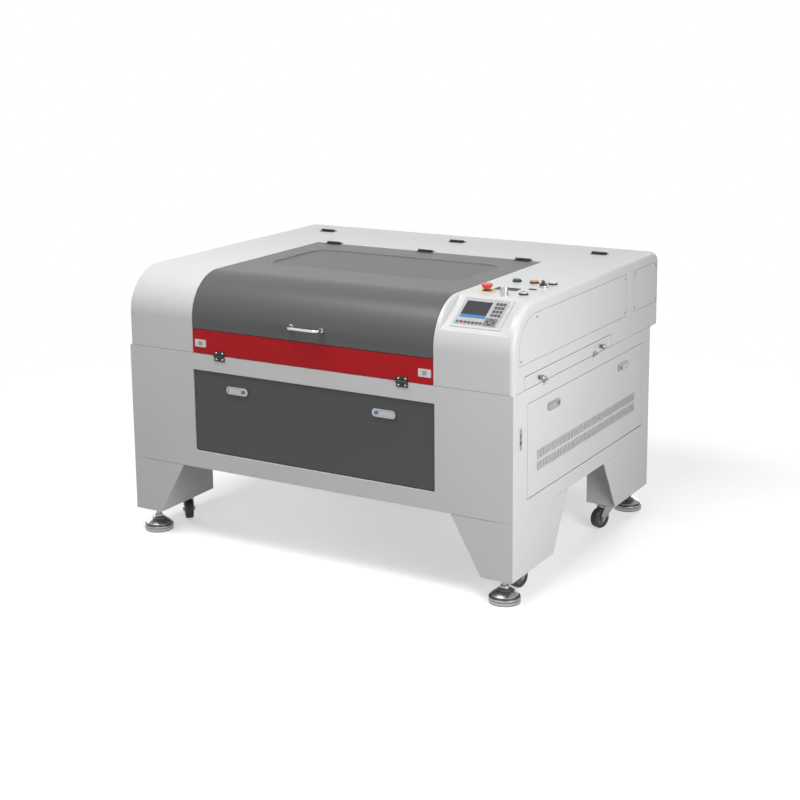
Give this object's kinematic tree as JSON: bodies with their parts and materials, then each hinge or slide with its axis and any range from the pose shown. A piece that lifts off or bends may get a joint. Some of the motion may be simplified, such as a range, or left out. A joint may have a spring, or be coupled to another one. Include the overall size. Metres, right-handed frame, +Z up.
{
  "type": "laser engraver",
  "caption": "Gas laser engraver: curved lid over a lifting honeycomb bed, pass-through flaps, tube housing behind, control tower, and a cabinet on tapered legs.",
  "frame": {"origin": "middle of the machine's footprint box, on the floor", "axes": "+X to the machine's right, +Y to its back, +Z up; the lid's handle and the red flap face -Y"},
  "size_m": [1.474, 1.203, 0.9374],
  "materials": {
    "shell_paint": "fine satin powder coat",
    "lid_paint": "satin dark grey",
    "door_paint": "satin dark grey",
    "flap_paint": "satin red",
    "window_pane": "smoked sheet",
    "dark_metal": "satin black",
    "bright_steel": "brushed",
    "chrome_trim": "polished",
    "bare_aluminium": "mill finish",
    "liner_steel": "satin grey",
    "tube_glass": "clear",
    "module_plastic": "satin",
    "fitting_plastic": "satin",
    "tyre_rubber": "matt",
    "cap_green": "translucent",
    "cap_amber": "translucent",
    "cap_white": "translucent",
    "cap_red": "gloss"
  },
  "bodies": {
    "root": {"base_cabinet": "shell_paint", "legs": "shell_paint", "levelling_feet": "chrome_trim", "caster_plates": "bright_steel", "left_tower": "shell_paint", "right_tower": "shell_paint", "rear_housing": "shell_paint", "access_panels": "shell_paint", "chamber_liner": "liner_steel", "linear_rails": "bright_steel", "laser_tube": "tube_glass", "tube_clamps": "bare_aluminium", "electronics": "bright_steel", "lift_drive": "dark_metal", "display_module": "module_plastic", "panel_fittings": "fitting_plastic", "connector_plates": "fitting_plastic", "exhaust_collar": "shell_paint", "fixed_hinge_leaves": "dark_metal", "fasteners": "bright_steel"},
    "lid": {"lid_shell": "lid_paint", "lid_window": "window_pane", "lid_handle": "chrome_trim", "lid_leaves": "dark_metal"},
    "tube_cover": {"tube_cover": "shell_paint", "cover_leaves": "dark_metal"},
    "front_flap": {"front_flap": "flap_paint", "flap_leaves": "dark_metal"},
    "right_flap": {"right_flap": "shell_paint"},
    "left_flap": {"left_flap": "shell_paint"},
    "rear_flap": {"rear_flap": "shell_paint"},
    "front_door": {"front_door": "door_paint"},
    "right_door": {"right_door": "shell_paint"},
    "front_left_latch": {"front_left_latch": "bright_steel"},
    "front_right_latch": {"front_right_latch": "bright_steel"},
    "side_front_latch": {"side_front_latch": "bright_steel"},
    "side_rear_latch": {"side_rear_latch": "bright_steel"},
    "estop_button": {"estop_button": "cap_red"},
    "key_switch": {"key_switch": "chrome_trim"},
    "selector_knob": {"selector_knob": "fitting_plastic"},
    "green_button": {"green_button": "cap_green"},
    "amber_button": {"amber_button": "cap_amber"},
    "white_button": {"white_button": "cap_white"},
    "red_button": {"red_button": "cap_red"},
    "gantry": {"gantry_beam": "bare_aluminium"},
    "laser_head": {"laser_head": "fitting_plastic"},
    "table": {"table_frame": "bright_steel", "honeycomb_bed": "bare_aluminium"},
    "lift_screw_front_left": {"lift_screw_front_left": "bright_steel"},
    "lift_screw_front_right": {"lift_screw_front_right": "bright_steel"},
    "lift_screw_rear_left": {"lift_screw_rear_left": "bright_steel"},
    "lift_screw_rear_right": {"lift_screw_rear_right": "bright_steel"},
    "caster_fork_front_left": {"caster_fork_front_left": "bright_steel"},
    "caster_wheel_front_left": {"caster_wheel_front_left": "tyre_rubber"},
    "caster_fork_front_right": {"caster_fork_front_right": "bright_steel"},
    "caster_wheel_front_right": {"caster_wheel_front_right": "tyre_rubber"},
    "caster_fork_rear_left": {"caster_fork_rear_left": "bright_steel"},
    "caster_wheel_rear_left": {"caster_wheel_rear_left": "tyre_rubber"},
    "caster_fork_rear_right": {"caster_fork_rear_right": "bright_steel"},
    "caster_wheel_rear_right": {"caster_wheel_rear_right": "tyre_rubber"}
  },
  "joints": [
    {"name": "lid_hinge", "type": "hinge", "parent": "root", "child": "lid", "pos_m": [0, 0.1855, 0.917], "axis": [-1, 0, 0], "range_deg": [0, 80]},
    {"name": "cover_hinge", "type": "hinge", "parent": "root", "child": "tube_cover", "pos_m": [0, 0.4205, 0.917], "axis": [1, 0, 0], "range_deg": [0, 95]},
    {"name": "front_flap_hinge", "type": "hinge", "parent": "root", "child": "front_flap", "pos_m": [0, -0.5695, 0.656], "axis": [1, 0, 0], "range_deg": [0, 170]},
    {"name": "right_flap_hinge", "type": "hinge", "parent": "root", "child": "right_flap", "pos_m": [0.718, -0.164, 0.656], "axis": [0, 1, 0], "range_deg": [0, 120]},
    {"name": "left_flap_hinge", "type": "hinge", "parent": "root", "child": "left_flap", "pos_m": [-0.718, -0.164, 0.656], "axis": [0, -1, 0], "range_deg": [0, 120]},
    {"name": "rear_flap_hinge", "type": "hinge", "parent": "root", "child": "rear_flap", "pos_m": [0, 0.5825, 0.699], "axis": [1, 0, 0], "range_deg": [0, 100]},
    {"name": "front_door_hinge", "type": "hinge", "parent": "root", "child": "front_door", "pos_m": [0, -0.5545, 0.334], "axis": [1, 0, 0], "range_deg": [0, 90]},
    {"name": "right_door_hinge", "type": "hinge", "parent": "root", "child": "right_door", "pos_m": [0.709, -0.0135, 0.324], "axis": [0, 1, 0], "range_deg": [0, 90]},
    {"name": "front_left_latch_pivot", "type": "hinge", "parent": "front_door", "child": "front_left_latch", "pos_m": [-0.3078, -0.5645, 0.547], "axis": [0, 0, -1], "range_deg": [0, 40]},
    {"name": "front_right_latch_pivot", "type": "hinge", "parent": "front_door", "child": "front_right_latch", "pos_m": [0.3078, -0.5645, 0.547], "axis": [0, 0, 1], "range_deg": [0, 40]},
    {"name": "side_front_latch_pivot", "type": "hinge", "parent": "right_door", "child": "side_front_latch", "pos_m": [0.719, -0.3213, 0.568], "axis": [0, 0, -1], "range_deg": [0, 40]},
    {"name": "side_rear_latch_pivot", "type": "hinge", "parent": "right_door", "child": "side_rear_latch", "pos_m": [0.719, 0.2943, 0.568], "axis": [0, 0, 1], "range_deg": [0, 40]},
    {"name": "estop_press", "type": "slide", "parent": "root", "child": "estop_button", "axis": [0, 0, -1], "range_m": [0, 0.005], "stiffness_N_per_m": 1500, "springref_m": -0.002},
    {"name": "key_turn", "type": "hinge", "parent": "root", "child": "key_switch", "pos_m": [0.5935, -0.3845, 0.923], "axis": [0, 0, -1], "range_deg": [0, 90]},
    {"name": "selector_turn", "type": "hinge", "parent": "root", "child": "selector_knob", "pos_m": [0.6465, -0.2225, 0.923], "axis": [0, 0, -1], "range_deg": [0, 70]},
    {"name": "green_press", "type": "slide", "parent": "root", "child": "green_button", "axis": [0, 0, -1], "range_m": [0, 0.003], "stiffness_N_per_m": 600, "springref_m": -0.002},
    {"name": "amber_press", "type": "slide", "parent": "root", "child": "amber_button", "axis": [0, 0, -1], "range_m": [0, 0.003], "stiffness_N_per_m": 600, "springref_m": -0.002},
    {"name": "white_press", "type": "slide", "parent": "root", "child": "white_button", "axis": [0, 0, -1], "range_m": [0, 0.003], "stiffness_N_per_m": 600, "springref_m": -0.002},
    {"name": "red_press", "type": "slide", "parent": "root", "child": "red_button", "axis": [0, 0, -1], "range_m": [0, 0.003], "stiffness_N_per_m": 600, "springref_m": -0.002},
    {"name": "gantry_slide", "type": "slide", "parent": "root", "child": "gantry", "axis": [0, 1, 0], "range_m": [-0.6, 0]},
    {"name": "head_slide", "type": "slide", "parent": "gantry", "child": "laser_head", "axis": [1, 0, 0], "range_m": [0, 0.9]},
    {"name": "table_lift", "type": "slide", "parent": "root", "child": "table", "axis": [0, 0, 1], "range_m": [-0.2, 0.015]},
    {"name": "front_left_screw_turn", "type": "hinge", "parent": "root", "child": "lift_screw_front_left", "pos_m": [-0.5, -0.4455, 0.45], "axis": [0, 0, 1], "continuous": true},
    {"name": "front_right_screw_turn", "type": "hinge", "parent": "root", "child": "lift_screw_front_right", "pos_m": [0.5, -0.4455, 0.45], "axis": [0, 0, 1], "continuous": true},
    {"name": "rear_left_screw_turn", "type": "hinge", "parent": "root", "child": "lift_screw_rear_left", "pos_m": [-0.5, 0.0945, 0.45], "axis": [0, 0, 1], "continuous": true},
    {"name": "rear_right_screw_turn", "type": "hinge", "parent": "root", "child": "lift_screw_rear_right", "pos_m": [0.5, 0.0945, 0.45], "axis": [0, 0, 1], "continuous": true},
    {"name": "front_left_swivel", "type": "hinge", "parent": "root", "child": "caster_fork_front_left", "pos_m": [-0.66, -0.3605, 0.08], "axis": [0, 0, 1], "continuous": true},
    {"name": "front_left_roll", "type": "hinge", "parent": "caster_fork_front_left", "child": "caster_wheel_front_left", "pos_m": [-0.63454, -0.38596, 0.037], "axis": [0.7071, 0.7071, 0], "continuous": true},
    {"name": "front_right_swivel", "type": "hinge", "parent": "root", "child": "caster_fork_front_right", "pos_m": [0.66, -0.3605, 0.08], "axis": [0, 0, 1], "continuous": true},
    {"name": "front_right_roll", "type": "hinge", "parent": "caster_fork_front_right", "child": "caster_wheel_front_right", "pos_m": [0.65068, -0.39527, 0.037], "axis": [0.9659, -0.2588, 0], "continuous": true},
    {"name": "rear_left_swivel", "type": "hinge", "parent": "root", "child": "caster_fork_rear_left", "pos_m": [-0.672, 0.2535, 0.08], "axis": [0, 0, 1], "continuous": true},
    {"name": "rear_left_roll", "type": "hinge", "parent": "caster_fork_rear_left", "child": "caster_wheel_rear_left", "pos_m": [-0.69514, 0.22592, 0.037], "axis": [0.766, -0.6428, 0], "continuous": true},
    {"name": "rear_right_swivel", "type": "hinge", "parent": "root", "child": "caster_fork_rear_right", "pos_m": [0.672, 0.2535, 0.08], "axis": [0, 0, 1], "continuous": true},
    {"name": "rear_right_roll", "type": "hinge", "parent": "caster_fork_rear_right", "child": "caster_wheel_rear_right", "pos_m": [0.65969, 0.21967, 0.037], "axis": [0.9397, -0.342, 0], "continuous": true}
  ],
  "couplings": [
    {"joint": "front_left_screw_turn", "follows": "table_lift", "rad_per_m": -785.4},
    {"joint": "front_right_screw_turn", "follows": "table_lift", "rad_per_m": -785.4},
    {"joint": "rear_left_screw_turn", "follows": "table_lift", "rad_per_m": -785.4},
    {"joint": "rear_right_screw_turn", "follows": "table_lift", "rad_per_m": -785.4}
  ]
}
